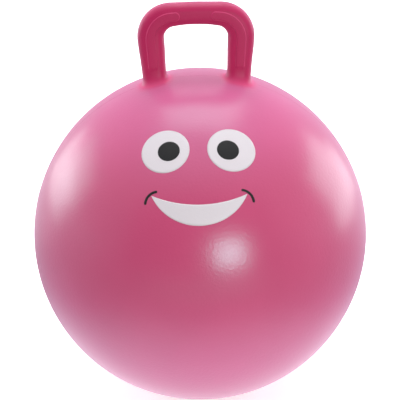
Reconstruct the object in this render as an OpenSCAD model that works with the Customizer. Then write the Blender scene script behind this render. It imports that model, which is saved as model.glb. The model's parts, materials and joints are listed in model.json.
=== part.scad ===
// Hopper ball: an inflated skin with a hollow loop handle, a flush inflation valve and a printed face.
// Millimetres. The origin is in the middle of the flat patch on which the ball stands.
// The face looks along -Y, and the handle stands on top in the plane Y = 0.

/* [Ball] */
// Outside diameter of the inflated ball
ball_d = 500; // [420:5:600]
// Thickness of the ball's skin
skin_t = 1; // [0.8:0.1:2.5]
// Diameter of the flat patch that carries the ball
foot_d = 70; // [40:2:100]

/* [Handle] */
// Clear height between the ball's top and the underside of the grip
grip_gap = 78.5; // [60:0.5:110]
// Thickness of the grip, from its top to its underside
grip_t = 31.5; // [24:0.5:38]
// Rise of the grip's middle above the line of its shoulders
grip_crown = 6; // [2:0.5:10]
// Depth of the handle, from front to back
handle_depth = 31; // [24:0.5:40]
// Outside width across the shoulders
handle_w = 169.5; // [150:0.5:200]
// Bend radius of the middle line at a shoulder
shoulder_r = 33; // [24:1:40]
// Width of a leg at the shoulder
leg_w = 38.5; // [30:0.5:46]
// Width of a leg at the ankle, where the flare starts
ankle_w = 35; // [28:0.5:42]
// Outside width across the ankles
ankle_spread = 158; // [140:1:190]
// Reach of the flare that runs a leg out on the ball, at the leg's sides
flare_side = 12; // [6:0.5:16]
// Reach of the flare in front of a leg and behind it
flare_front = 22; // [16:0.5:28]
// Wall of the hollow handle
handle_wall = 3.2; // [2:0.1:5]
// Squareness of the handle's section: 2 is an ellipse, more is squarer
squareness = 2.7; // [2.1:0.1:4]
// Diameter of the air port between the ball and a leg
air_port_d = 16; // [6:1:20]

/* [Finger rib] */
// Width of the raised rib on the handle's front and back
rib_w = 13.5; // [8:0.5:18]
// Height of the rib over the handle's face
rib_h = 1.2; // [0.4:0.1:2]
// Width of the rib's sloping edge
rib_bevel = 0.9; // [0.4:0.1:2]
// Plain stretch between the two ribs on the grip
rib_gap = 45; // [20:1:70]
// Height of the rib's foot above the top of the flare
rib_rise = 3; // [2.5:0.5:16]

/* [Valve] */
// Angle of the valve below the ball's middle, on the back
valve_drop = 30; // [10:1:50]
// Diameter of the bore that the plug closes
bore_d = 7; // [5:0.1:9]
// Diameter of the recess for the plug's head
recess_d = 17; // [13:0.5:22]
// Depth of the recess
recess_depth = 2.6; // [1.8:0.1:4]
// Wall of the boss round the recess
boss_wall = 4.5; // [3:0.5:8]
// Length of the boss, from the skin's outside inwards
boss_len = 12; // [8:0.5:20]
// Reach of the flange that bonds the boss to the skin's inside
flange_w = 9; // [5:0.5:16]
// Thickness of the flange
flange_t = 1.6; // [1:0.1:3]
// Diameter of the finger notch at the recess's edge
notch_d = 7; // [4:0.5:10]
// Reach of the finger notch past the recess's edge
notch_reach = 2.2; // [1:0.1:2.8]

/* [Plug] */
// Thickness of the plug's head
head_t = 2.1; // [1.2:0.1:3]
// Depth of the dimple in the plug's head
head_dish = 0.5; // [0.2:0.1:1]
// Length of the plug's stem
stem_len = 15; // [10:0.5:24]
// Depth of the waist between the stem's sealing rings
waist_depth = 0.5; // [0.2:0.05:0.9]
// Length of one sealing ring
ring_len = 2; // [1:0.1:2.5]

/* [Face] */
// Diameter of an eye
eye_d = 68; // [50:1:80]
// Distance between the middles of the eyes
eye_pitch = 92; // [85:1:120]
// Height of the eyes on the ball, as an angle over its middle
eye_angle = 50; // [42:1:56]
// Diameter of a pupil
pupil_d = 31; // [16:1:44]
// Shift of the pupils towards the nose
pupil_in = 5; // [0:0.5:9]
// Width of the smile
smile_w = 132; // [90:1:160]
// Drop of the smile's lower edge below its corners
smile_drop = 45; // [30:1:56]
// Height of the smile at its middle
smile_h = 29; // [16:1:40]
// Height of the smile on the ball, as an angle over its middle
smile_angle = 36; // [30:1:44]
// Radius of a dimple's arc
dimple_r = 17; // [10:1:24]
// Width of a dimple's line
dimple_t = 3.6; // [2:0.2:6]
// Thickness of the print's film
ink_t = 0.2; // [0.1:0.05:0.4]

/* [Fits] */
// Gap at a moulded or printed bond
bond_gap = 0.15; // [0.05:0.05:0.3]
// Radial clearance of the plug's sealing rings in the bore
ring_clear = 0.05; // [0.02:0.01:0.1]
// Clearance round the plug's head in its recess
head_clear = 0.3; // [0.2:0.05:0.6]
// Gap under the plug's head
head_gap = 0.1; // [0.05:0.05:0.3]

/* [Hidden] */
$fn = 180;

// Ball
ball_r = ball_d / 2;
ball_z = sqrt(ball_r * ball_r - foot_d * foot_d / 4);
slab = 2 * ball_d;
proud = 2;
boss_d = recess_d + 2 * boss_wall;

// The handle's middle line, in the plane Y = 0 about the ball's middle: a straight leg that leans outwards,
// an arc round the shoulder and a wide arc along the crowned grip
bond_r = ball_r + bond_gap;
grip_z = ball_r + grip_gap + grip_t / 2;
shoulder_x = (handle_w - leg_w) / 2;
ankle_x = (ankle_spread - ankle_w) / 2;
ankle = [ankle_x, sqrt(bond_r * bond_r - ankle_x * ankle_x) + flare_side];
lean = atan2(shoulder_x - ankle_x, grip_z - shoulder_r - ankle.y);
leg_dir = [sin(lean), cos(lean)];
leg_out = [cos(lean), -sin(lean)];
crown_r = (shoulder_x * shoulder_x + grip_crown * grip_crown) / (2 * grip_crown);
crown_mid = [0, grip_z - crown_r];
bend_from = ankle - shoulder_r * leg_out - crown_mid;
bend_along = bend_from * leg_dir;
leg_len = -bend_along + sqrt(bend_along * bend_along - bend_from * bend_from + pow(crown_r - shoulder_r, 2));
bend_mid = crown_mid + bend_from + leg_len * leg_dir;
bend_end = atan2(bend_mid.y - crown_mid.y, bend_mid.x - crown_mid.x);
bend_len = shoulder_r * (bend_end + lean) * PI / 180;
crown_len = crown_r * (90 - bend_end) * PI / 180;
half_len = leg_len + bend_len + crown_len;
thin_from = leg_len + 0.3 * bend_len;
thin_to = half_len - 0.3 * crown_len;

// Rings of the handle's loft, as distances along the middle line from the ankle
leg_rings = 5;
bend_rings = 12;
crown_rings = 4;
tip_rings = 4;
flare_rings = 7;
foot_rings = 4;
side_steps = 9;
flare_top = max(0, flare_front - flare_side);
ankle_lift = flare_top + 1;
rib_foot = flare_top + rib_rise;
rib_tip = half_len - rib_gap / 2;
tip_w = 0.7;
tip_run = 0.9;

// Angle of the middle line's outward side, from the X axis, at a distance from the ankle
function side_angle(d) =
    d < leg_len ? -lean
    : d < leg_len + bend_len ? -lean + (d - leg_len) / shoulder_r * 180 / PI
    : bend_end + (d - leg_len - bend_len) / crown_r * 180 / PI;

function aim(a) = [cos(a), sin(a)];

function middle(d) =
    d < leg_len ? ankle + d * leg_dir
    : d < leg_len + bend_len ? bend_mid + shoulder_r * aim(side_angle(d))
    : crown_mid + crown_r * aim(side_angle(d));

function ease(t) = let (c = min(1, max(0, t))) c * c * (3 - 2 * c);

// The leg widens up to the shoulder and keeps its width into the bend, and then draws in to the grip
function half_width(d) =
    d < leg_len ? (ankle_w + (leg_w - ankle_w) * ease(d / leg_len)) / 2
    : (leg_w + (grip_t - leg_w) * ease((d - thin_from) / (thin_to - thin_from))) / 2;

// The rib keeps its width along the leg and the shoulder, and ends in a round tip on the grip
function rib_half(d) =
    let (past = (d - (rib_tip - rib_w / 2)) / (rib_w / 2))
    past <= 0 ? rib_w / 2 : max(tip_w, rib_w / 2 * sqrt(max(0, 1 - past * past)));

function rib_height(d) = d > rib_foot && d < rib_tip + 0.5 * tip_run ? rib_h : 0;

// Superellipse: height over the middle at a share of the half width
function face_at(p, a, b) = b * pow(max(0, 1 - pow(abs(p) / a, squareness)), 1 / squareness);

// Section in [outwards, depth] with half sizes a and b: outer side, back rib, inner side, front rib
function section(a, b, w, h) =
    let (
        edge = acos(pow(w / a, squareness / 2)),
        flat = max(0.5 * w, w - rib_bevel),
        side = [for (i = [0:side_steps])
            let (t = -edge + 2 * edge * i / side_steps)
            [a * pow(cos(t), 2 / squareness), b * sign(sin(t)) * pow(abs(sin(t)), 2 / squareness)]],
        rib = [for (p = [flat, 0, -flat]) [p, face_at(p, a, b) + h]]
    )
    concat(side, rib, [for (p = side) -p], [for (p = rib) -p]);

// Outward direction of a plain section at one of its points
function outward(p, a, b) =
    let (
        g = [
            sign(p.x) * pow(abs(p.x) / a, squareness - 1) / a,
            sign(p.y) * pow(abs(p.y) / b, squareness - 1) / b
        ]
    )
    g / norm(g);

// Ring at a distance d along the right half of the middle line, drawn in by inset
function ring(d, inset, h) =
    let (m = middle(d), out = aim(side_angle(d)))
    [for (p = section(half_width(d) - inset, handle_depth / 2 - inset, rib_half(d), h))
        [m.x + p.x * out.x, p.y, m.y + p.x * out.y]];

// Ring round the right ankle, spread out on the ball and raised along the leg by shares of the flare's reach
function flare_ring(spread, rise, inset) =
    let (a = ankle_w / 2 - inset, b = handle_depth / 2 - inset, dir = [leg_dir.x, 0, leg_dir.y])
    [for (p = section(a, b, rib_w / 2, 0))
        let (
            out = outward(p, a, b),
            reach = flare_side + (flare_front - flare_side) * out.y * out.y,
            q = p + spread * reach * out,
            from = [ankle.x + q.x * leg_out.x, q.y, ankle.y + q.x * leg_out.y],
            along = from * dir
        )
        from + (-along + sqrt(along * along - from * from + bond_r * bond_r) + rise * reach) * dir];

function mirrored(r) = [for (p = r) [-p.x, p.y, p.z]];

// Both halves in one run, from the right foot over the grip to the left foot
function whole(half) = concat(half, [for (i = [len(half) - 2:-1:0]) mirrored(half[i])]);

leg_stops = [for (i = [0:leg_rings]) ankle_lift + (leg_len - ankle_lift) * i / leg_rings];
bend_stops = [for (i = [1:bend_rings]) leg_len + bend_len * i / bend_rings];
tip_stops = [for (i = [0:tip_rings]) rib_tip - rib_w / 2 * (1 - sin(90 * i / tip_rings))];
crown_start = max(leg_len + bend_len, rib_tip + tip_run);
crown_stops = [for (i = [1:crown_rings]) crown_start + (half_len - crown_start) * i / crown_rings];
rib_start = [rib_foot - 0.5 * tip_run, rib_foot + 0.5 * tip_run];
outer_stops = concat(
    [for (d = leg_stops) if (d < rib_start[0] - tip_run || d > rib_start[1] + tip_run) d],
    [for (d = bend_stops) if (d < tip_stops[0] - tip_run) d],
    tip_stops,
    [rib_tip + tip_run],
    [for (d = bend_stops) if (d > rib_tip + 2 * tip_run) d],
    crown_stops
);

function merged(list, extra) =
    concat([for (d = list) if (d < extra[0]) d], extra, [for (d = list) if (d > extra[0]) d]);

// Along the ball under the flare, up the flare's parabola, which is level at the ball and in line with the leg
// at its top, and along the leg, the shoulder and the grip
outer_half = concat(
    [for (i = [0:foot_rings - 1]) flare_ring(i / foot_rings, 0, 0)],
    [for (i = [0:flare_rings]) let (c = i / flare_rings) flare_ring(pow(1 - c, 2), c * c, 0)],
    [for (d = merged(outer_stops, rib_start)) ring(d, 0, rib_height(d))]
);
inner_half = concat(
    [flare_ring(0, 0, handle_wall)],
    [for (d = concat([leg_stops[0], leg_len / 2], bend_stops, [half_len])) ring(d, handle_wall, 0)]
);

module handle() {
    outer = whole(outer_half);
    inner = whole(inner_half);
    n = len(outer[0]);
    first_inner = len(outer) * n;
    outer_end = (len(outer) - 1) * n;
    inner_end = first_inner + (len(inner) - 1) * n;
    points = [for (r = concat(outer, inner)) each r];
    outer_faces = [for (i = [0:len(outer) - 2], j = [0:n - 1])
        let (a = i * n + j, b = i * n + (j + 1) % n)
        each [[a, a + n, b + n], [a, b + n, b]]];
    inner_faces = [for (i = [0:len(inner) - 2], j = [0:n - 1])
        let (a = first_inner + i * n + j, b = first_inner + i * n + (j + 1) % n)
        each [[a, b + n, a + n], [a, b, b + n]]];
    foot_faces = [for (j = [0:n - 1])
        let (k = (j + 1) % n, a = first_inner + j, b = first_inner + k)
        each [[j, k, b], [j, b, a]]];
    end_faces = [for (j = [0:n - 1])
        let (k = (j + 1) % n, a = outer_end + j, b = outer_end + k, c = inner_end + j, d = inner_end + k)
        each [[a, d, b], [a, c, d]]];
    color([0.69, 0.17, 0.33])
        translate([0, 0, ball_z])
        polyhedron(points, concat(outer_faces, inner_faces, foot_faces, end_faces), 4);
}

// Puts +Z along a line out of the ball's middle: turned from the front towards +X, and raised
module on_ball(turn, raise) {
    translate([0, 0, ball_z]) rotate([0, 0, turn]) rotate([90 - raise, 0, 0]) children();
}

module on_valve() {
    on_ball(180, -valve_drop) children();
}

module round_bar(d, from, to) {
    translate([0, 0, from]) cylinder(h = to - from, d = d);
}

// The part of the flat-footed ball whose radius is drawn in by a depth
module ball_body(depth) {
    difference() {
        translate([0, 0, ball_z]) sphere(r = ball_r - depth);
        translate([-slab / 2, -slab / 2, depth - slab]) cube(slab);
    }
}

module ball_skin() {
    color([0.85, 0.42, 0.58]) difference() {
        ball_body(0);
        ball_body(skin_t);
        on_valve() round_bar(boss_d + 2 * bond_gap, ball_r - boss_len, ball_r + proud);
        for (s = [-1, 1])
            translate([s * ankle.x, 0, ball_z + ankle.y]) rotate([0, s * lean, 0])
            round_bar(air_port_d, -flare_side - air_port_d, 0);
    }
}

module valve_seat() {
    flange_top = ball_r - skin_t - bond_gap;
    color([0.78, 0.36, 0.52]) on_valve() difference() {
        union() {
            intersection() {
                sphere(r = ball_r);
                round_bar(boss_d, ball_r - boss_len, ball_r + proud);
            }
            intersection() {
                difference() {
                    sphere(r = flange_top);
                    sphere(r = flange_top - flange_t);
                }
                round_bar(boss_d + 2 * flange_w, ball_r - boss_len, ball_r);
            }
        }
        round_bar(recess_d, ball_r - recess_depth, ball_r + proud);
        round_bar(bore_d, ball_r - boss_len - proud, ball_r);
        translate([(recess_d - notch_d) / 2 + notch_reach, 0, 0])
            round_bar(notch_d, ball_r - recess_depth, ball_r + proud);
    }
}

// The stopper: a dished head on a stem with sealing rings, turned about the valve's axis
module valve_plug() {
    head_r = recess_d / 2 - head_clear;
    ring_r = bore_d / 2 - ring_clear;
    waist_r = ring_r - waist_depth;
    under = ball_r - recess_depth + head_gap;
    top = under + head_t;
    tip = under - stem_len;
    ring_top = under - waist_depth;
    edge = 0.3 * head_t;
    ring_pitch = 2 * ring_len;
    rings = [for (i = [0:1]) ring_top - i * ring_pitch];
    color([0.95, 0.94, 0.92]) on_valve() rotate_extrude() polygon(concat(
        [[0, top - head_dish], [head_r / 2, top - head_dish], [head_r / 2 + edge, top],
            [head_r - edge, top], [head_r, top - edge], [head_r, under], [waist_r, under]],
        [for (z = rings) each [
            [waist_r, z], [ring_r, z - waist_depth],
            [ring_r, z - ring_len + waist_depth], [waist_r, z - ring_len]]],
        [[waist_r, tip + waist_r], [waist_r / 2, tip], [0, tip]]
    ));
}

// A film of print on the ball, cut out by its children; layer 1 lies on layer 0
module print_film(layer, tone) {
    under = ball_r + bond_gap + layer * (ink_t + bond_gap);
    color(tone) intersection() {
        difference() {
            sphere(r = under + ink_t);
            sphere(r = under);
        }
        children();
    }
}

module print_dot(d) {
    round_bar(d, ball_r / 2, ball_r + proud);
}

white_ink = [0.9, 0.88, 0.88];
black_ink = [0.08, 0.07, 0.08];
eye_turn = asin(eye_pitch / 2 / (ball_r * cos(eye_angle)));
pupil_turn = asin((eye_pitch / 2 - pupil_in) / (ball_r * cos(eye_angle)));

module eye(side) {
    on_ball(side * eye_turn, eye_angle) print_film(0, white_ink) print_dot(eye_d);
}

module pupil(side) {
    on_ball(side * pupil_turn, eye_angle) print_film(1, black_ink) print_dot(pupil_d);
}

module left_eye() { eye(-1); }
module right_eye() { eye(1); }
module left_pupil() { pupil(-1); }
module right_pupil() { pupil(1); }

// Radius of an arc over a chord, with a given rise
function arc_r(chord, rise) = (chord * chord / 4 + rise * rise) / (2 * rise);

// Crescent between two arcs that share their corners
module smile() {
    lower_r = arc_r(smile_w, smile_drop);
    upper_r = arc_r(smile_w, smile_drop - smile_h);
    on_ball(0, smile_angle) print_film(0, white_ink) difference() {
        translate([0, lower_r - smile_drop, 0]) print_dot(2 * lower_r);
        translate([0, upper_r - smile_drop + smile_h, 0]) print_dot(2 * upper_r);
    }
}

// Short arc that closes a corner of the smile, hollow towards it
module dimple(side) {
    quarter = dimple_r + dimple_t;
    on_ball(0, smile_angle) print_film(0, black_ink)
        translate([side * (smile_w / 2 - dimple_r / sqrt(2) + dimple_t), -dimple_r / sqrt(2), 0])
        intersection() {
            difference() {
                print_dot(2 * dimple_r + dimple_t);
                print_dot(2 * dimple_r - dimple_t);
            }
            translate([side > 0 ? 0 : -quarter, 0, 0]) cube([quarter, quarter, ball_d]);
        }
}

module left_dimple() { dimple(-1); }
module right_dimple() { dimple(1); }

ball_skin();
handle();
valve_seat();
valve_plug();
left_eye();
right_eye();
left_pupil();
right_pupil();
smile();
left_dimple();
right_dimple();
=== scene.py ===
"""Hopper ball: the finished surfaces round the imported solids, with a plain studio stage."""
import json
import math

import bpy
import numpy as np
from mathutils import Matrix, Vector


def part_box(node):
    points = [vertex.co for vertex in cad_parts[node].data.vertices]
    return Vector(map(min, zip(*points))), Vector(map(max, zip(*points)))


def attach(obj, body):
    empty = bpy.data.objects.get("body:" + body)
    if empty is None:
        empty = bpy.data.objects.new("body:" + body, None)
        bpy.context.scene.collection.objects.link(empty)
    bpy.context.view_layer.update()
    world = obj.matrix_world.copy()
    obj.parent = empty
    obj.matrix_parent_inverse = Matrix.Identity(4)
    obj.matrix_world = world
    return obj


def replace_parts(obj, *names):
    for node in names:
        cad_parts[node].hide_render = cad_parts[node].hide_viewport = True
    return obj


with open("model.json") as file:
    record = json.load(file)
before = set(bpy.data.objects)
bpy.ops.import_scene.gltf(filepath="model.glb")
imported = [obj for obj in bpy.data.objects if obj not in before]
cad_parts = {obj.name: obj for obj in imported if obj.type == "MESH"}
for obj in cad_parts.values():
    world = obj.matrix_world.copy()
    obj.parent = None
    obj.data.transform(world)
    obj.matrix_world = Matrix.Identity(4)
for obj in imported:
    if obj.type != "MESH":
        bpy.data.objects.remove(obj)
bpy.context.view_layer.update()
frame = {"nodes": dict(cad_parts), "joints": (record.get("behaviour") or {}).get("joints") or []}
nodes = frame["nodes"]

# Ball, from the frame: metres, +Z up, the face towards -Y
skin_low, skin_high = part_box("ball_skin")
BALL_R = (skin_high.y - skin_low.y) / 2
MIDDLE = Vector((0.0, 0.0, skin_high.z - BALL_R))
SKIN_T = 0.001
FOOT_SOFTNESS = 0.0011

# Valve: its axis is the way the plug comes out
VALVE_AXIS = Vector(frame["joints"][0]["axis"]).normalized()
VALVE_HOLE_R = 0.01315

# Handle, about the ball's middle, as the solid has it
GRIP_GAP = 0.0785
GRIP_T = 0.0315
GRIP_CROWN = 0.006
HANDLE_DEPTH = 0.031
HANDLE_W = 0.1695
SHOULDER_R = 0.033
LEG_W = 0.0385
ANKLE_W = 0.035
ANKLE_SPREAD = 0.158
FLARE_SIDE = 0.012
FLARE_FRONT = 0.022
FLARE_EXTRA = 0.004
SQUARENESS = 2.7
THIN_FROM = 0.3
THIN_TO = 0.3

# Raised rib on the handle's front and back
RIB_W = 0.0135
RIB_H = 0.0012
RIB_BEVEL = 0.0007
RIB_GAP = 0.045
# Painted highlight: a paler line just inside the rib's outward edge and round its tip, where the edge
# faces the lamps
HIGHLIGHT_IN = 0.0003
HIGHLIGHT_HALF = 0.0009
HIGHLIGHT_PALE = 0.32
TIP_TURN = 2.0
RIB_RISE = 0.013

# Mould parting line, in the plane of the handle
LINE_W = 0.0018
LINE_H = 0.00016

# Printed face: places on the ball in degrees, sizes in metres
EYE_D = 0.068
EYE_PITCH = 0.092
EYE_ANGLE = 50.0
PUPIL_D = 0.031
PUPIL_IN = 0.005
SMILE_W = 0.132
SMILE_DROP = 0.045
SMILE_H = 0.029
SMILE_ANGLE = 36.0
DIMPLE_R = 0.017
DIMPLE_T = 0.0036
INK_PROUD = 0.00016
INK_BODY = 0.0003

# Colours as they look in plain light, but for the darker pink of the ball's middle, which is painted shade
PINK = (0.770, 0.334, 0.510)
CRIMSON = (0.697, 0.105, 0.316)
# Painted shade: a darker pink for the ball's middle band, where less light falls than on its top and
# bottom
SHADED_BELLY_PINK = (0.728, 0.272, 0.418)
HOT = (0.830, 0.245, 0.450)
# Painted shade round the ball's middle: the largest share of its darker pink, which is also where each
# vinyl's middle colour stands, then the heights over the ball's middle where the shade starts, is full,
# thins and ends
SHADE_SHARE_AND_MIDDLE_STOP = 0.46
PAINTED_SHADE_TOP = 0.245
PAINTED_SHADE_FULL = 0.13
PAINTED_SHADE_BASE = 0.03
PAINTED_SHADE_END = -0.14
PLUG_WHITE = (0.840, 0.830, 0.810)
INK_WHITE = (0.800, 0.770, 0.780)
INK_BLACK = (0.085, 0.080, 0.085)


def linear(colour):
    """An sRGB colour as the shader's linear one."""
    return tuple(c / 12.92 if c <= 0.04045 else ((c + 0.055) / 1.055) ** 2.4 for c in colour) + (1.0,)


def ease(t):
    """Smooth step from 0 to 1, for numbers and arrays."""
    t = np.clip(t, 0.0, 1.0)
    return t * t * (3.0 - 2.0 * t)


# Meshes


def grid_faces(rings, count):
    """Quads between closed rings that follow each other."""
    i, j = np.meshgrid(np.arange(rings - 1), np.arange(count), indexing="ij")
    k = (j + 1) % count
    quads = np.stack([i * count + j, i * count + k, (i + 1) * count + k, (i + 1) * count + j], axis=-1)
    return quads.reshape(-1, 4).tolist()


def mesh_piece(name, points, faces, deep, material):
    """A smooth piece on the ball's body, with its share of the deeper colour at each point."""
    mesh = bpy.data.meshes.new(name)
    mesh.from_pydata([tuple(p) for p in points], [], faces)
    mesh.validate()
    mesh.shade_smooth()
    layer = mesh.attributes.new("deep", "FLOAT", "POINT")
    layer.data.foreach_set("value", np.asarray(deep, dtype=np.float32))
    mesh.materials.append(material)
    piece = bpy.data.objects.new(name, mesh)
    bpy.context.scene.collection.objects.link(piece)
    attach(piece, "ball")
    return piece


def settle(points):
    """Presses the ball's lowest points flat on the floor, with a soft edge."""
    z = points[:, 2]
    flat = points.copy()
    lift = 0.5 * (z.min() + math.hypot(z.min(), FOOT_SOFTNESS))
    low = 1.0 - ease(z / MIDDLE.z)
    flat[:, 2] = z + low * (0.5 * (np.hypot(z, FOOT_SOFTNESS) - z) - lift)
    return flat


# The handle's middle line: a leaning leg, an arc round the shoulder and a wide arc along the grip
grip_z = BALL_R + GRIP_GAP + GRIP_T / 2
shoulder_x = (HANDLE_W - LEG_W) / 2
ankle_x = (ANKLE_SPREAD - ANKLE_W) / 2
ankle = np.array([ankle_x, math.sqrt(BALL_R ** 2 - ankle_x ** 2) + FLARE_SIDE])
lean = math.atan2(shoulder_x - ankle_x, grip_z - SHOULDER_R - ankle[1])
leg_dir = np.array([math.sin(lean), math.cos(lean)])
leg_out = np.array([math.cos(lean), -math.sin(lean)])
crown_r = (shoulder_x ** 2 + GRIP_CROWN ** 2) / (2 * GRIP_CROWN)
crown_mid = np.array([0.0, grip_z - crown_r])
bend_from = ankle - SHOULDER_R * leg_out - crown_mid
bend_along = bend_from @ leg_dir
leg_len = -bend_along + math.sqrt(bend_along ** 2 - bend_from @ bend_from + (crown_r - SHOULDER_R) ** 2)
bend_mid = crown_mid + bend_from + leg_len * leg_dir
bend_end = math.atan2(bend_mid[1] - crown_mid[1], bend_mid[0])
bend_len = SHOULDER_R * (bend_end + lean)
crown_len = crown_r * (math.pi / 2 - bend_end)
half_len = leg_len + bend_len + crown_len
rib_tip = half_len - RIB_GAP / 2 - RIB_W / 2


def middle_line(d):
    """Point and outward side of the right half's middle line, at a distance from the ankle."""
    if d < leg_len:
        return ankle + d * leg_dir, leg_out
    if d < leg_len + bend_len:
        a = (d - leg_len) / SHOULDER_R - lean
        side = np.array([math.cos(a), math.sin(a)])
        return bend_mid + SHOULDER_R * side, side
    a = bend_end + (d - leg_len - bend_len) / crown_r
    side = np.array([math.cos(a), math.sin(a)])
    return crown_mid + crown_r * side, side


def half_width(d):
    """Half the handle's width, which grows up the leg and draws in from the bend to the grip."""
    if d < leg_len:
        return (ANKLE_W + (LEG_W - ANKLE_W) * ease(d / leg_len)) / 2
    start = leg_len + THIN_FROM * bend_len
    end = half_len - THIN_TO * crown_len
    return (LEG_W + (GRIP_T - LEG_W) * ease((d - start) / (end - start))) / 2


def rib_relief(d, p):
    """Height of the rib at a distance along the middle line and a place across it."""
    past = max(0.0, d - rib_tip)
    short = max(0.0, RIB_RISE + RIB_BEVEL - d)
    inside = RIB_W / 2 - np.hypot(p, past) - short
    return RIB_H * ease(inside / RIB_BEVEL)


def painted_rib_highlight(d, p):
    """Share of the painted highlight, a paler line along the rib's outward edge and its tip, which face
    the lamps.
    """
    past = max(0.0, d - rib_tip)
    inside = RIB_W / 2 - np.hypot(p, past)
    line = np.clip(1.0 - np.abs(inside - HIGHLIGHT_IN) / HIGHLIGHT_HALF, 0.0, 1.0)
    outward = ease((p + TIP_TURN * past) / (RIB_W / 2))
    return line * outward * (d > RIB_RISE)


# Points of a section: a side's are crowded to its middle, and a face holds the rib and a margin
SIDE_STEPS = 18
SIDE_CROWD = 1.6
FACE_STEPS = 30
FACE_MARGIN = 0.0006
FACE_HALF = RIB_W / 2 + FACE_MARGIN


def face_places():
    """Places across the rib's face, close together at its edges."""
    return FACE_HALF * np.cos(math.pi * np.arange(1, FACE_STEPS) / FACE_STEPS)


def section_tone(d):
    """Share of the deeper colour round a section, in the order of its points, lessened by the painted
    highlight along the rib's outward edges.
    """
    side = np.ones(2 * SIDE_STEPS + 1)
    face = face_places()
    back = 1.0 - HIGHLIGHT_PALE * painted_rib_highlight(d, face)
    front = 1.0 - HIGHLIGHT_PALE * painted_rib_highlight(d, -face)
    return np.concatenate([side, back, side, front])


def section(a, b, d):
    """Closed section as [outwards, depth] points: outer side, back, inner side, front."""
    edge = math.acos((FACE_HALF / a) ** (SQUARENESS / 2))
    k = np.arange(-SIDE_STEPS, SIDE_STEPS + 1) / SIDE_STEPS
    t = edge * np.sign(k) * np.abs(k) ** SIDE_CROWD
    side = np.stack([a * np.cos(t) ** (2 / SQUARENESS),
                     b * np.sign(t) * np.abs(np.sin(t)) ** (2 / SQUARENESS)], axis=1)
    side[:, 0] += LINE_H * ease(1.0 - np.abs(side[:, 1]) / (LINE_W / 2))
    p = face_places()
    q = b * (1.0 - (np.abs(p) / a) ** SQUARENESS) ** (1 / SQUARENESS) + rib_relief(d, p)
    face = np.stack([p, q], axis=1)
    return np.concatenate([side, face, -side, -face])


def handle_ring(d):
    """Ring of the right half, round the middle line."""
    m, out = middle_line(d)
    s = section(half_width(d), HANDLE_DEPTH / 2, d)
    return np.stack([m[0] + s[:, 0] * out[0], s[:, 1], m[1] + s[:, 0] * out[1]], axis=1)


def flare_ring(climb, lip, sink):
    """Ring of the flare round the ankle, from the ball's surface at climb 0 up to the leg at 1."""
    a = ANKLE_W / 2
    b = HANDLE_DEPTH / 2
    s = section(a, b, 0.0)
    slope = np.sign(s) * (np.abs(s) / (a, b)) ** (SQUARENESS - 1) / (a, b)
    slope = slope / np.linalg.norm(slope, axis=1, keepdims=True)
    reach = FLARE_SIDE + (FLARE_FRONT - FLARE_SIDE) * slope[:, 1] ** 2
    s = s + slope * ((reach + FLARE_EXTRA) * (1.0 - climb) ** 2 + lip)[:, None]
    start = np.stack([ankle[0] + s[:, 0] * leg_out[0], s[:, 1], ankle[1] + s[:, 0] * leg_out[1]], axis=1)
    way = np.array([leg_dir[0], 0.0, leg_dir[1]])
    along = start @ way
    drop = -along + np.sqrt(along ** 2 - (start ** 2).sum(axis=1) + BALL_R ** 2)
    return start + (drop + reach * climb ** 3 - sink)[:, None] * way


# Rings of the flare, and of the handle from the rib's foot to the grip's middle
FLARE_RINGS = 28
FLARE_SINK = 0.00008
FLARE_LIP = 0.004
FLARE_MELT = 0.5
FOOT_RINGS = 7
LEG_RINGS = 14
BEND_RINGS = 26
BEND_START = 0.04
TIP_RINGS = 15
CROWN_RINGS = 8


def handle_stops():
    """Distances of the handle's rings from the ankle, close together at the ends of the ribs."""
    foot = np.linspace(RIB_RISE, RIB_RISE + 2 * RIB_BEVEL, FOOT_RINGS)
    leg = np.linspace(foot[-1] + RIB_BEVEL, leg_len, LEG_RINGS)
    bend = leg_len + bend_len * np.linspace(BEND_START, 1.0, BEND_RINGS)
    tip = np.linspace(rib_tip, rib_tip + RIB_W / 2, TIP_RINGS)
    crown = np.linspace(tip[-1] + RIB_BEVEL, half_len, CROWN_RINGS)
    return np.concatenate([foot, leg, bend[bend < tip[0] - RIB_BEVEL], tip, crown])


def make_handle(material):
    """The loop handle, from the right foot over the grip to the left; its lip is shaded as the ball is."""
    rings = [flare_ring(0.0, FLARE_LIP, FLARE_SINK)]
    tones = [np.zeros(len(rings[0]))]
    shares = [np.ones(len(rings[0]))]
    for climb in np.linspace(0.0, 1.0, FLARE_RINGS + 1):
        rings.append(flare_ring(climb, 0.0, 0.0))
        tones.append(np.full(len(rings[0]), ease(climb)))
        shares.append(np.full(len(rings[0]), 1.0 - ease(climb / FLARE_MELT)))
    for d in handle_stops():
        rings.append(handle_ring(d))
        tones.append(section_tone(d))
        shares.append(np.zeros(len(rings[0])))
    rings += [r * (-1.0, 1.0, 1.0) for r in rings[-2::-1]]
    tones += tones[-2::-1]
    shares += shares[-2::-1]
    points = np.concatenate(rings)
    deep = np.concatenate(tones)
    faces = grid_faces(len(rings), len(rings[0]))
    piece = mesh_piece("loop_handle", points + np.array(MIDDLE), faces, deep, material)
    rays = points / np.linalg.norm(points, axis=1, keepdims=True)
    normals = np.array([n.vector for n in piece.data.vertex_normals])
    normals += (rays - normals) * np.concatenate(shares)[:, None]
    normals /= np.linalg.norm(normals, axis=1, keepdims=True)
    piece.data.normals_split_custom_set_from_vertices(normals)
    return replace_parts(piece, "handle")


BALL_RINGS = 170
BALL_SIDES = 240


def painted_belly_shade(rise):
    """Painted shade: a deeper tone round the belly, where less light falls than on the top and bottom, at
    heights over the ball's middle.
    """
    over = ease((PAINTED_SHADE_TOP - rise) / (PAINTED_SHADE_TOP - PAINTED_SHADE_FULL))
    under = ease((rise - PAINTED_SHADE_END) / (PAINTED_SHADE_BASE - PAINTED_SHADE_END))
    return SHADE_SHARE_AND_MIDDLE_STOP * over * under


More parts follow.
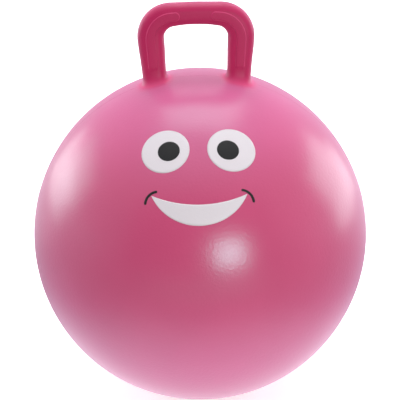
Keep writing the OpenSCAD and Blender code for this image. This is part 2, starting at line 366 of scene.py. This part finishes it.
def make_ball(material):
    """The inflated skin, as rings round the valve's axis from the valve's hole to the far side."""
    turn_x = VALVE_AXIS.orthogonal().normalized()
    turn_y = VALVE_AXIS.cross(turn_x)
    polar = np.linspace(math.asin(VALVE_HOLE_R / BALL_R), math.pi, BALL_RINGS + 1)[:-1]
    round_way = -np.arange(BALL_SIDES) * 2 * math.pi / BALL_SIDES
    a, b = np.meshgrid(polar, round_way, indexing="ij")
    basis = np.array([turn_x, turn_y, VALVE_AXIS])
    rays = np.stack([np.sin(a) * np.cos(b), np.sin(a) * np.sin(b), np.cos(a)], axis=-1)
    rays = rays.reshape(-1, 3) @ basis
    rays = np.concatenate([rays, [-np.array(VALVE_AXIS)]])
    faces = grid_faces(BALL_RINGS, BALL_SIDES)
    last = (BALL_RINGS - 1) * BALL_SIDES
    faces += [[last + i, last + (i + 1) % BALL_SIDES, len(rays) - 1] for i in range(BALL_SIDES)]
    # Painted shade: the belly's share of the darker pink
    deep = painted_belly_shade(rays[:, 2] * BALL_R)
    points = settle(rays * BALL_R + np.array(MIDDLE))
    piece = mesh_piece("inflated_skin", points, faces, deep, material)
    wall = piece.modifiers.new("wall", "SOLIDIFY")
    wall.thickness = SKIN_T
    wall.offset = -1.0
    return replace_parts(piece, "ball_skin")


# Parting line: its ends in degrees, its steps a degree, and its section in shares of its width and height
LINE_OVER_FLOOR = 6.0
LINE_UNDER_FOOT = 1.0
LINE_STEPS = 2
LINE_SECTION = ((0.5, -0.2), (0.28, 0.35), (0.0, 1.0), (-0.28, 0.35), (-0.5, -0.2), (0.0, -1.2))


def make_parting_line(material):
    """The fine ridge of the mould's joint on the ball: between the feet, and down each side."""
    foot = math.degrees(math.asin(ankle_x / BALL_R))
    spread = math.degrees((ANKLE_W / 2 + FLARE_SIDE) / BALL_R)
    ground = math.degrees(math.acos(-MIDDLE.z / BALL_R)) - LINE_OVER_FLOOR
    inner = foot - spread + LINE_UNDER_FOOT
    outer = foot + spread - LINE_UNDER_FOOT
    count = len(LINE_SECTION)
    across = np.array([p[0] for p in LINE_SECTION]) * LINE_W
    over = BALL_R + np.array([p[1] for p in LINE_SECTION]) * LINE_H
    points = []
    faces = []
    for start, end in ((-inner, inner), (outer, ground), (-ground, -outer)):
        turns = np.radians(np.linspace(start, end, 1 + int(abs(end - start) * LINE_STEPS)))
        base = len(points)
        for t in turns:
            points += [(r * math.sin(t), y, r * math.cos(t)) for y, r in zip(across, over)]
        faces += [[base + i for i in quad] for quad in grid_faces(len(turns), count)]
        faces.append([base + i for i in range(count)][::-1])
        faces.append([base + (len(turns) - 1) * count + i for i in range(count)])
    points = np.array(points)
    # Painted shade: the belly's share of the darker pink, as on the skin
    deep = painted_belly_shade(points[:, 2])
    points = points + np.array(MIDDLE)
    return mesh_piece("parting_line", points, faces, deep, material)


# Printed face


def on_ball(spots, turn, raised, level):
    """Flat [right, up] spots set on the ball, at a place turned from the front towards +X and raised."""
    t = math.radians(turn)
    r = math.radians(raised)
    out = np.array([math.cos(r) * math.sin(t), -math.cos(r) * math.cos(t), math.sin(r)])
    right = np.array([math.cos(t), math.sin(t), 0.0])
    up = np.cross(out, right)
    x, y = np.asarray(spots).T
    z = np.sqrt((BALL_R + level) ** 2 - x ** 2 - y ** 2)
    return x[:, None] * right + y[:, None] * up + z[:, None] * out + np.array(MIDDLE)


def film(name, node, points, faces, material):
    """A film of ink that stands for a solid film, with its underside in the skin."""
    piece = mesh_piece(name, points, faces, np.zeros(len(points)), material)
    body = piece.modifiers.new("body", "SOLIDIFY")
    body.thickness = INK_BODY
    body.offset = -1.0
    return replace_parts(piece, node)


# Points of the films: an arc stops just short of its corners, and a dimple's ends are round
DISC_RINGS = 12
DISC_SIDES = 96
BOW_POINTS = 81
BOW_SHARE = 0.995
SMILE_ROWS = 10
DIMPLE_POINTS = 41
DIMPLE_ROWS = 3
DIMPLE_END = 0.02


def disc(diameter):
    """Spots and faces of a round film."""
    turns = np.arange(DISC_SIDES) * 2 * math.pi / DISC_SIDES
    radii = diameter / 2 * np.arange(1, DISC_RINGS + 1) / DISC_RINGS
    spots = [(r * math.cos(t), r * math.sin(t)) for r in radii for t in turns] + [(0.0, 0.0)]
    faces = [quad[::-1] for quad in grid_faces(DISC_RINGS, DISC_SIDES)]
    faces += [[i, (i + 1) % DISC_SIDES, len(spots) - 1] for i in range(DISC_SIDES)]
    return spots, faces


def strip(first, second, rows):
    """Spots and faces of a film between two lines of as many points."""
    columns = len(first)
    share = np.linspace(0.0, 1.0, rows + 1)
    spots = np.concatenate([first + (second - first) * k for k in share])
    faces = [[r * columns + c, r * columns + c + 1, (r + 1) * columns + c + 1, (r + 1) * columns + c]
             for r in range(rows) for c in range(columns - 1)]
    return spots, faces


def bow(chord, rise):
    """Points of an arc that hangs from a chord, from its left end to its right end."""
    radius = (chord ** 2 / 4 + rise ** 2) / (2 * rise)
    half = math.asin(chord / 2 / radius)
    turns = half * np.linspace(-BOW_SHARE, BOW_SHARE, BOW_POINTS)
    return np.stack([radius * np.sin(turns), radius - rise - radius * np.cos(turns)], axis=1)


def make_eyes(white, black):
    """Two round eyes, with pupils that look a little inwards."""
    rim = BALL_R * math.cos(math.radians(EYE_ANGLE))
    for name, side in (("left", -1), ("right", 1)):
        turn = side * math.degrees(math.asin(EYE_PITCH / 2 / rim))
        look = side * math.degrees(math.asin((EYE_PITCH / 2 - PUPIL_IN) / rim))
        spots, faces = disc(EYE_D)
        points = on_ball(spots, turn, EYE_ANGLE, INK_PROUD)
        film(name + "_eye_print", name + "_eye", points, faces, white)
        spots, faces = disc(PUPIL_D)
        points = on_ball(spots, look, EYE_ANGLE, 2 * INK_PROUD)
        film(name + "_pupil_print", name + "_pupil", points, faces, black)


def make_smile(white):
    """A crescent between two arcs that share their corners."""
    spots, faces = strip(bow(SMILE_W, SMILE_DROP), bow(SMILE_W, SMILE_DROP - SMILE_H), SMILE_ROWS)
    points = on_ball(spots, 0.0, SMILE_ANGLE, INK_PROUD)
    film("smile_print", "smile", points, faces, white)


def make_dimples(black):
    """A short arc with round ends at each corner of the smile."""
    lean_in = DIMPLE_R / math.sqrt(2)
    turns = np.linspace(0.0, math.pi / 2, DIMPLE_POINTS)
    run = DIMPLE_R * np.minimum(turns, math.pi / 2 - turns) / (DIMPLE_T / 2)
    half = DIMPLE_T / 2 * np.sqrt(np.maximum(DIMPLE_END, 1.0 - np.maximum(0.0, 1.0 - run) ** 2))
    for name, side in (("left", -1), ("right", 1)):
        middle = np.array([side * (SMILE_W / 2 - lean_in + DIMPLE_T), -lean_in])
        ray = np.stack([side * np.cos(turns), np.sin(turns)], axis=1)
        inner = middle + ray * (DIMPLE_R - half)[:, None]
        outer = middle + ray * (DIMPLE_R + half)[:, None]
        spots, faces = strip(*((outer, inner) if side < 0 else (inner, outer)), DIMPLE_ROWS)
        faces = [face[::-1] for face in faces]
        points = on_ball(spots, 0.0, SMILE_ANGLE, INK_PROUD)
        film(name + "_dimple_print", name + "_dimple", points, faces, black)


# Materials


def add(tree, kind, settings=(), **inputs):
    """A node with its own settings and its inputs, each a value or another node's output."""
    made = tree.nodes.new("ShaderNode" + kind)
    for name, value in dict(settings).items():
        setattr(made, name, value)
    for name, value in inputs.items():
        socket = made.inputs[int(name[1:])] if name[1:].isdigit() else made.inputs[name.replace("_", " ")]
        if isinstance(value, bpy.types.NodeSocket):
            tree.links.new(value, socket)
        else:
            socket.default_value = value
    return made


def new_material(name):
    """A material, its tree and the shader in it."""
    made = bpy.data.materials.new(name)
    made.use_nodes = True
    tree = made.node_tree
    return made, tree, tree.nodes["Principled BSDF"]


def ranged(tree, value, low, high):
    """A 0 to 1 value brought to a range."""
    return add(tree, "MapRange", Value=value, To_Min=low, To_Max=high).outputs["Result"]


def math_node(tree, kind, first, second):
    """The result of a sum on two values."""
    return add(tree, "Math", {"operation": kind}, _0=first, _1=second).outputs[0]


def faded(tree, value, start, end):
    """1 up to a start, fading softly to 0 at an end."""
    made = add(tree, "MapRange", {"interpolation_type": "SMOOTHSTEP"}, Value=value)
    made.inputs["From Min"].default_value = start
    made.inputs["From Max"].default_value = end
    made.inputs["To Min"].default_value = 1.0
    made.inputs["To Max"].default_value = 0.0
    return made.outputs["Result"]


# Noise in the materials, in waves a metre, and how high it lifts the surface
PEBBLE = {"Scale": 280.0, "Detail": 2.0, "Roughness": 0.55}
PEBBLE_H = 0.0004
WAVE = {"Scale": 9.0, "Detail": 1.0}
WAVE_H = 0.003
WAVE_STRENGTH = 0.12
CLOUD = {"Scale": 14.0, "Detail": 4.0}
SMEAR = {"Scale": 60.0, "Detail": 3.0}
SMEAR_ROUGH = 0.05


def grain(tree, shader, strength):
    """Fine pebble of the mould, over a slow unevenness of the blown wall."""
    place = add(tree, "TexCoord").outputs["Object"]
    pebble = add(tree, "TexNoise", Vector=place, **PEBBLE).outputs[0]
    fine = add(tree, "Bump", Strength=strength, Distance=PEBBLE_H, Height=pebble).outputs[0]
    wave = add(tree, "TexNoise", Vector=place, **WAVE).outputs[0]
    slow = add(tree, "Bump", Strength=WAVE_STRENGTH, Distance=WAVE_H, Height=wave, Normal=fine)
    tree.links.new(slow.outputs[0], shader.inputs["Normal"])
    return place


def varied(tree, place, colour, amount):
    """A colour with a faint cloudiness, as of pigment that is not quite even."""
    cloud = add(tree, "TexNoise", Vector=place, **CLOUD)
    value = ranged(tree, cloud.outputs[0], 1.0 - amount, 1.0 + amount)
    return add(tree, "HueSaturation", Color=colour, Value=value).outputs[0]


# Soft vinyl, where the wall is thin and on the thick handle
SKIN_ROUGH = 0.28
SKIN_GLOSS = 0.60
HANDLE_ROUGH = 0.50
HANDLE_GLOSS = 0.30
THICK_FULL = 0.5
PVC_GRAIN = 0.5
PVC_CLOUD = 0.05
SHINE_TINT = (0.45, 0.98, 1.0, 1.0)
SHEEN = 0.40
SHEEN_ROUGH = 0.50
SHEEN_TINT = (1.0, 0.62, 0.95, 1.0)


def soft_pvc(name, middle, rough_thick, gloss_thick):
    """Semi-gloss vinyl: pink where the wall is thin, deeper where it is thick, darker in a painted shade
    round the ball's belly, and paler in a painted highlight along the handle's rib edges.
    """
    made, tree, shader = new_material(name)
    place = grain(tree, shader, PVC_GRAIN)
    deep = add(tree, "Attribute", {"attribute_name": "deep"}).outputs["Fac"]
    tone = add(tree, "ValToRGB", Fac=deep)
    tone.color_ramp.elements[0].color = linear(PINK)
    tone.color_ramp.elements[1].color = linear(CRIMSON)
    # The middle colour: the handle's own tone between pink and crimson, and on the ball the darker pink of
    # its painted belly shade
    tone.color_ramp.elements.new(SHADE_SHARE_AND_MIDDLE_STOP).color = linear(middle)
    tree.links.new(varied(tree, place, tone.outputs[0], PVC_CLOUD), shader.inputs["Base Color"])
    step = add(tree, "MapRange", {"interpolation_type": "SMOOTHSTEP"}, Value=deep, From_Max=THICK_FULL)
    thick = step.outputs["Result"]
    tree.links.new(ranged(tree, thick, SKIN_ROUGH, rough_thick), shader.inputs["Roughness"])
    tree.links.new(ranged(tree, thick, SKIN_GLOSS, gloss_thick), shader.inputs["Specular IOR Level"])
    shader.inputs["Specular Tint"].default_value = SHINE_TINT
    shader.inputs["Sheen Weight"].default_value = SHEEN
    shader.inputs["Sheen Roughness"].default_value = SHEEN_ROUGH
    shader.inputs["Sheen Tint"].default_value = SHEEN_TINT
    return made


def plain_moulding(name, colour, rough, strength, amount):
    """A moulded or printed surface of one colour, with the grain of the mould."""
    made, tree, shader = new_material(name)
    place = grain(tree, shader, strength)
    tree.links.new(varied(tree, place, linear(colour), amount), shader.inputs["Base Color"])
    smear = add(tree, "TexNoise", Vector=place, **SMEAR)
    uneven = ranged(tree, smear.outputs[0], rough - SMEAR_ROUGH, rough + SMEAR_ROUGH)
    tree.links.new(uneven, shader.inputs["Roughness"])
    return made


# Stage


LAMP_AWAY = 2.2
HIGH_AWAY = 2.4
LOW_AWAY = 1.0


def area_light(name, azimuth, elevation, size, power, away=LAMP_AWAY, mirrored=True):
    """A softbox that looks at the ball's middle; azimuth 0 is in front, and grows towards +X."""
    az = math.radians(azimuth)
    el = math.radians(elevation)
    way = Vector((math.cos(el) * math.sin(az), -math.cos(el) * math.cos(az), math.sin(el)))
    lamp = bpy.data.lights.new(name, "AREA")
    lamp.shape = "RECTANGLE"
    lamp.size, lamp.size_y = size
    lamp.energy = power
    box = bpy.data.objects.new(name, lamp)
    box.location = MIDDLE + away * way
    box.rotation_euler = way.to_track_quat("Z", "Y").to_euler()
    box.visible_glossy = mirrored
    bpy.context.scene.collection.objects.link(box)


def make_lights():
    """Softboxes that the vinyl mirrors, and fills that it doesn't."""
    area_light("left_box", -125, 8, (1.45, 0.78), 12)
    area_light("left_wash", -112, 18.5, (1.2, 0.9), 9.2)
    area_light("right_box", 121, 2, (1.50, 0.70), 11.5)
    area_light("right_wash", 114, 19, (1.3, 0.6), 9)
    area_light("top_box", 175, 69, (1.35, 1.30), 18)
    area_light("front_box", 18.5, 9.5, (0.72, 0.60), 21)
    area_light("high_fill", 0, 82, (2.2, 1.8), 17.5, away=HIGH_AWAY, mirrored=False)
    area_light("back_fill", 180, 28, (1.2, 0.6), 13, away=HIGH_AWAY, mirrored=False)
    area_light("left_fill", -84, 2, (1.0, 0.4), 6.5, mirrored=False)
    area_light("right_fill", 84, 2, (1.0, 0.4), 3.5, mirrored=False)
    area_light("low_fill", 0, -14, (1.2, 0.3), 2.8, away=LOW_AWAY, mirrored=False)


def seen_in_gloss(tree):
    """1 for rays that a glossy or clear surface sends on."""
    path = add(tree, "LightPath").outputs
    return math_node(tree, "MAXIMUM", path["Is Glossy Ray"], path["Is Transmission Ray"])


# World: its light on the ball, and as the ball mirrors it, level and overhead
WHITE = (1.0, 1.0, 1.0, 1.0)
SKY_TINT = (0.93, 0.96, 1.05, 1.0)
GLOSS_TINT = (0.95, 0.97, 1.0, 1.0)
SKY_LOW = 0.30
SKY_HIGH = 1.15
GLOSS_LOW = 0.50
GLOSS_HIGH = 0.40


def make_world():
    """Soft fill that grows towards the ceiling; the camera sees it as white."""
    world = bpy.data.worlds.new("studio")
    bpy.context.scene.world = world
    world.use_nodes = True
    tree = world.node_tree
    tree.nodes.clear()
    up = add(tree, "SeparateXYZ", Vector=add(tree, "TexCoord").outputs["Generated"]).outputs["Z"]
    fill = add(tree, "Background", Color=SKY_TINT, Strength=ranged(tree, up, SKY_LOW, SKY_HIGH))
    pale = add(tree, "Background", Color=GLOSS_TINT, Strength=ranged(tree, up, GLOSS_LOW, GLOSS_HIGH))
    white = add(tree, "Background", Color=WHITE, Strength=1.0)
    lit = add(tree, "MixShader", _0=seen_in_gloss(tree), _1=fill.outputs[0], _2=pale.outputs[0])
    camera_ray = add(tree, "LightPath").outputs["Is Camera Ray"]
    mixed = add(tree, "MixShader", _0=camera_ray, _1=lit.outputs[0], _2=white.outputs[0])
    add(tree, "OutputWorld", Surface=mixed.outputs[0])


ROOM_AWAY = 3.1
ROOM_HALF = 4.0
ROOM_TOP = 3.6
ROOM_DARK = (0.03, 0.03, 0.03, 1.0)
ROOM_ROUGH = 0.9


def make_dark_room():
    """The unlit end of the studio in front of the ball, which the camera itself doesn't see."""
    mesh = bpy.data.meshes.new("dark_room")
    corners = ((-ROOM_HALF, 0.0), (ROOM_HALF, 0.0), (ROOM_HALF, ROOM_TOP), (-ROOM_HALF, ROOM_TOP))
    mesh.from_pydata([(x, -ROOM_AWAY, z) for x, z in corners], [], [(0, 1, 2, 3)])
    made, tree, shader = new_material("dark_room")
    shader.inputs["Base Color"].default_value = ROOM_DARK
    shader.inputs["Roughness"].default_value = ROOM_ROUGH
    mesh.materials.append(made)
    room = bpy.data.objects.new("dark_room", mesh)
    room.visible_camera = False
    room.visible_shadow = False
    bpy.context.scene.collection.objects.link(room)


# Floor: dark ground, a sheet of lit paper round the ball, and glows that show in mirrored rays
FLOOR_SIZE = 14.0
FLOOR_WHITE = (0.9, 0.9, 0.9, 1.0)
FLOOR_DARK = (0.23, 0.23, 0.23, 1.0)
FLOOR_LIFT = 0.55
GLOSS_PAPER = 0.4
GLOSS_LIFT = 1.08
GLOSS_FAR = 0.40
FAR_FROM = 0.30
FAR_FULL = 0.80
SWEEP_HALF = 0.33
SIDE_SOFT = 0.22
SWEEP_FRONT = 0.44
FRONT_SOFT = 0.22
SWEEP_BACK = 0.12
BACK_SOFT = 0.20


def white_sweep(tree):
    """1 on the lit paper that the ball stands on, with soft ends in front, behind and at the sides."""
    place = add(tree, "SeparateXYZ", Vector=add(tree, "TexCoord").outputs["Object"])
    aside = add(tree, "Math", {"operation": "ABSOLUTE"}, _0=place.outputs["X"]).outputs[0]
    ahead = add(tree, "Math", {"operation": "MULTIPLY"}, _0=place.outputs["Y"], _1=-1.0).outputs[0]
    wide = faded(tree, aside, SWEEP_HALF - SIDE_SOFT, SWEEP_HALF + SIDE_SOFT)
    front = faded(tree, ahead, SWEEP_FRONT - FRONT_SOFT, SWEEP_FRONT + FRONT_SOFT)
    back = faded(tree, place.outputs["Y"], SWEEP_BACK - BACK_SOFT, SWEEP_BACK + BACK_SOFT)
    return math_node(tree, "MULTIPLY", wide, math_node(tree, "MULTIPLY", front, back))


def far_ground(tree):
    """Glow of the ground that lies well behind the ball, as the ball mirrors it."""
    behind = add(tree, "SeparateXYZ", Vector=add(tree, "TexCoord").outputs["Object"]).outputs["Y"]
    return ranged(tree, faded(tree, behind, FAR_FROM, FAR_FULL), GLOSS_FAR, 0.0)


def make_floor():
    """A pale floor that reads as white in the picture and still takes the ball's shadow."""
    half = FLOOR_SIZE / 2
    mesh = bpy.data.meshes.new("floor")
    corners = ((-half, -half, 0), (half, -half, 0), (half, half, 0), (-half, half, 0))
    mesh.from_pydata(corners, [], [(0, 1, 2, 3)])
    made, tree, shader = new_material("floor")
    tree.nodes.remove(shader)
    camera_ray = add(tree, "LightPath").outputs["Is Camera Ray"]
    sweep = white_sweep(tree)
    dark = add(tree, "BsdfDiffuse", Color=FLOOR_DARK)
    pale = add(tree, "BsdfDiffuse", Color=FLOOR_WHITE)
    gloss_ray = seen_in_gloss(tree)
    paper = math_node(tree, "MULTIPLY", sweep, ranged(tree, gloss_ray, 1.0, GLOSS_PAPER))
    lit = math_node(tree, "MAXIMUM", camera_ray, paper)
    ground = add(tree, "MixShader", _0=lit, _1=dark.outputs[0], _2=pale.outputs[0])
    glow = math_node(tree, "MAXIMUM", ranged(tree, sweep, 0.0, GLOSS_LIFT), far_ground(tree))
    in_gloss = math_node(tree, "MULTIPLY", gloss_ray, glow)
    lift = math_node(tree, "MAXIMUM", ranged(tree, camera_ray, 0.0, FLOOR_LIFT), in_gloss)
    bright = add(tree, "Emission", Color=WHITE, Strength=lift)
    summed = add(tree, "AddShader", _0=ground.outputs[0], _1=bright.outputs[0])
    tree.links.new(summed.outputs[0], tree.nodes["Material Output"].inputs["Surface"])
    mesh.materials.append(made)
    floor = bpy.data.objects.new("floor", mesh)
    bpy.context.scene.collection.objects.link(floor)


# Camera: where the ball's middle and edge lie in the picture, and how the picture is turned
PICTURE = 400.0
MIDDLE_PX = (200.2, 233.1)
EDGE_PX = 166.0
CAMERA_RAISE = math.radians(23.4)
CAMERA_ROLL = math.radians(1.25)
CAMERA_AWAY = 10.0
SENSOR = 36.0


def make_camera():
    """The camera in front of the ball, raised, and rolled as the picture is."""
    focal_px = EDGE_PX * math.sqrt(CAMERA_AWAY ** 2 - 1.0)
    out = Vector((0.0, -math.cos(CAMERA_RAISE), math.sin(CAMERA_RAISE)))
    right = Vector((1.0, 0.0, 0.0))
    up = out.cross(right)
    c = math.cos(CAMERA_ROLL)
    s = math.sin(CAMERA_ROLL)
    turned = Matrix((c * right - s * up, s * right + c * up, out)).transposed()
    aim = Vector((MIDDLE_PX[0] - PICTURE / 2, PICTURE / 2 - MIDDLE_PX[1], -focal_px)).normalized()
    pitch = aim.rotation_difference(Vector((0.0, 0.0, -1.0))).to_matrix()
    data = bpy.data.cameras.new("camera")
    data.sensor_fit = "HORIZONTAL"
    data.sensor_width = SENSOR
    data.lens = focal_px * SENSOR / PICTURE
    camera = bpy.data.objects.new("camera", data)
    spot = MIDDLE + CAMERA_AWAY * BALL_R * out
    camera.matrix_world = Matrix.Translation(spot) @ (turned @ pitch).to_4x4()
    bpy.context.scene.collection.objects.link(camera)
    bpy.context.scene.camera = camera


def dress(name, material):
    """Gives a solid that stays in view its finished material."""
    slots = nodes[name].data.materials
    slots.clear()
    slots.append(material)


bpy.context.scene.view_settings.view_transform = "Standard"
make_camera()
make_world()
make_floor()
make_dark_room()
make_lights()

# The ball's vinyl, with the darker pink of its painted belly shade
ball_pvc = soft_pvc("ball_pvc", SHADED_BELLY_PINK, SKIN_ROUGH, SKIN_GLOSS)
make_ball(ball_pvc)
make_parting_line(ball_pvc)
make_handle(soft_pvc("handle_pvc", HOT, HANDLE_ROUGH, HANDLE_GLOSS))

white_ink = plain_moulding("white_ink", INK_WHITE, rough=0.48, strength=0.30, amount=0.02)
black_ink = plain_moulding("black_ink", INK_BLACK, rough=0.42, strength=0.30, amount=0.05)
make_eyes(white_ink, black_ink)
make_smile(white_ink)
make_dimples(black_ink)
valve_pvc = plain_moulding("valve_pvc", PINK, rough=0.38, strength=0.12, amount=0.04)
plug_white = plain_moulding("plug_white", PLUG_WHITE, rough=0.42, strength=0.10, amount=0.03)
dress("valve_seat", valve_pvc)
dress("valve_plug", plug_white)
